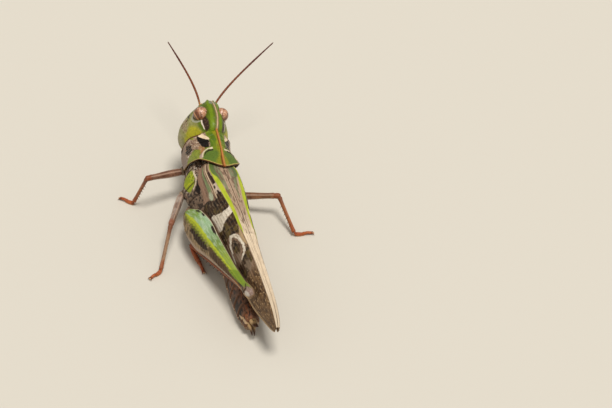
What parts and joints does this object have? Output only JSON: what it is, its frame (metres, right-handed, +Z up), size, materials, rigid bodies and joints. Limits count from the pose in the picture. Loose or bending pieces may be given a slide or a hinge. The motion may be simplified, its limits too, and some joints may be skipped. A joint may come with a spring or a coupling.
{
  "type": "grasshopper",
  "caption": "Life-size still model of a band-winged grasshopper, green and brown, standing on its feet with folded wings and raised hind knees.",
  "frame": {"origin": "centre of the whole model's box, at the level of the floor under the feet", "axes": "+Z up; -Y toward the head; +X toward the animal's left side"},
  "size_m": [0.0252, 0.0544, 0.0164],
  "materials": {
    "green_shield": "satin insect cuticle",
    "head_cuticle": "satin insect cuticle",
    "compound_eye": "glossy, faceted too finely to see",
    "mouthparts": "satin insect cuticle",
    "thorax_cuticle": "satin insect cuticle",
    "forewing": "satin membrane with raised veins",
    "hind_wing": "thin folded membrane",
    "abdomen_cuticle": "satin insect cuticle",
    "ovipositor_horn": "satin insect cuticle",
    "antenna_horn": "satin insect cuticle",
    "hind_femur": "satin insect cuticle",
    "walking_leg": "satin insect cuticle",
    "shin": "satin insect cuticle",
    "foot": "satin insect cuticle"
  },
  "bodies": {
    "root": {"pronotum": "green_shield", "head": "head_cuticle", "eye_left": "compound_eye", "eye_right": "compound_eye", "labrum": "mouthparts", "palp_left": "mouthparts", "palp_right": "mouthparts", "thorax": "thorax_cuticle", "wing_left": "forewing", "wing_right": "forewing", "hind_wings": "hind_wing", "abdomen_front": "abdomen_cuticle", "abdomen_mid": "abdomen_cuticle", "abdomen_rear": "abdomen_cuticle", "ovipositor": "ovipositor_horn", "antenna_left": "antenna_horn", "antenna_right": "antenna_horn", "coxa_front_left": "walking_leg", "femur_front_left": "walking_leg", "tibia_front_left": "shin", "tarsus_front_left": "foot", "coxa_front_right": "walking_leg", "femur_front_right": "walking_leg", "tibia_front_right": "shin", "tarsus_front_right": "foot", "coxa_mid_left": "walking_leg", "femur_mid_left": "walking_leg", "tibia_mid_left": "shin", "tarsus_mid_left": "foot", "coxa_mid_right": "walking_leg", "femur_mid_right": "walking_leg", "tibia_mid_right": "shin", "tarsus_mid_right": "foot", "coxa_hind_left": "walking_leg", "femur_hind_left": "hind_femur", "tibia_hind_left": "shin", "tarsus_hind_left": "foot", "coxa_hind_right": "walking_leg", "femur_hind_right": "hind_femur", "tibia_hind_right": "shin", "tarsus_hind_right": "foot"}
  },
  "joints": []
}
